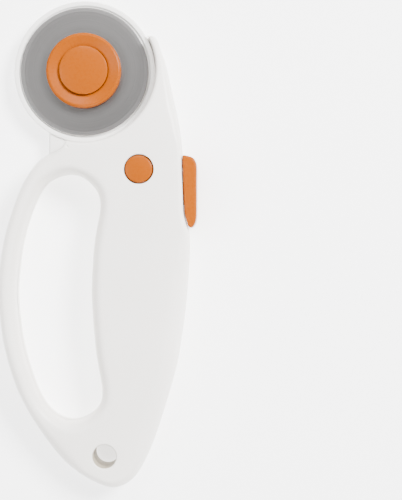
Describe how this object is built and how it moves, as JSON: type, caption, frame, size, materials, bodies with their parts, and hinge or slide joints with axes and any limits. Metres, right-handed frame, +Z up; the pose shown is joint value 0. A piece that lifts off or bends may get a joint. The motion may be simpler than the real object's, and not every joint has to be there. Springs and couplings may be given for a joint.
{
  "type": "rotary cutter",
  "caption": "Hand rotary cutter with a finger-loop handle, a sliding round blade in front of a round guard, a push-button hub and a thumb slider.",
  "frame": {"origin": "on the blade's axis, in the plane of the flat rear face, which the tool lies on", "axes": "+Z up, out of the front face and along the blade's axis; +Y from the handle's tail towards the head; +X towards the thumb slider"},
  "size_m": [0.0691, 0.1708, 0.018],
  "materials": {
    "white_plastic": "satin white moulded plastic",
    "orange_plastic": "smooth orange moulded plastic",
    "grey_plastic": "grey slide moulding",
    "blade_steel": "ground tool steel",
    "bright_steel": "plated steel",
    "spring_steel": "spring steel"
  },
  "bodies": {
    "handle": {"handle_rear_shell": "white_plastic", "handle_front_shell": "white_plastic", "handle_screw_1": "bright_steel", "handle_screw_2": "bright_steel", "handle_screw_3": "bright_steel", "handle_screw_4": "bright_steel", "handle_screw_5": "bright_steel", "blade_guard": "white_plastic", "guard_screw": "bright_steel", "detent_spring": "spring_steel", "lock_spring": "spring_steel"},
    "carriage": {"slide_carriage": "grey_plastic", "thumb_slider": "orange_plastic", "slider_screw": "bright_steel", "blade_axle": "bright_steel"},
    "rotor": {"axle_washer": "bright_steel"},
    "blade": {"blade": "blade_steel", "friction_washer": "spring_steel"},
    "hub": {"hub_body": "orange_plastic", "hub_clip": "spring_steel", "hub_button_spring": "spring_steel"},
    "hub_button": {"hub_button": "orange_plastic"},
    "lock_button": {"lock_button": "orange_plastic"}
  },
  "joints": [
    {"name": "carriage_slide", "type": "slide", "parent": "handle", "child": "carriage", "axis": [0, 1, 0], "range_m": [0, 0.007]},
    {"name": "blade_spin", "type": "hinge", "parent": "carriage", "child": "rotor", "pos_m": [0, 0, 0.0073], "axis": [0, 0, 1], "continuous": true},
    {"name": "blade_lift", "type": "slide", "parent": "rotor", "child": "blade", "axis": [0, 0, 1], "range_m": [0, 0.008]},
    {"name": "hub_lift", "type": "slide", "parent": "blade", "child": "hub", "axis": [0, 0, 1], "range_m": [0, 0.008]},
    {"name": "hub_button_press", "type": "slide", "parent": "hub", "child": "hub_button", "axis": [0, 0, -1], "range_m": [0, 0.0008], "stiffness_N_per_m": 600, "springref_m": -0.001, "deforming": ["hub_button_spring"]},
    {"name": "lock_button_press", "type": "slide", "parent": "handle", "child": "lock_button", "axis": [0, 0, -1], "range_m": [0, 0.0023]}
  ]
}
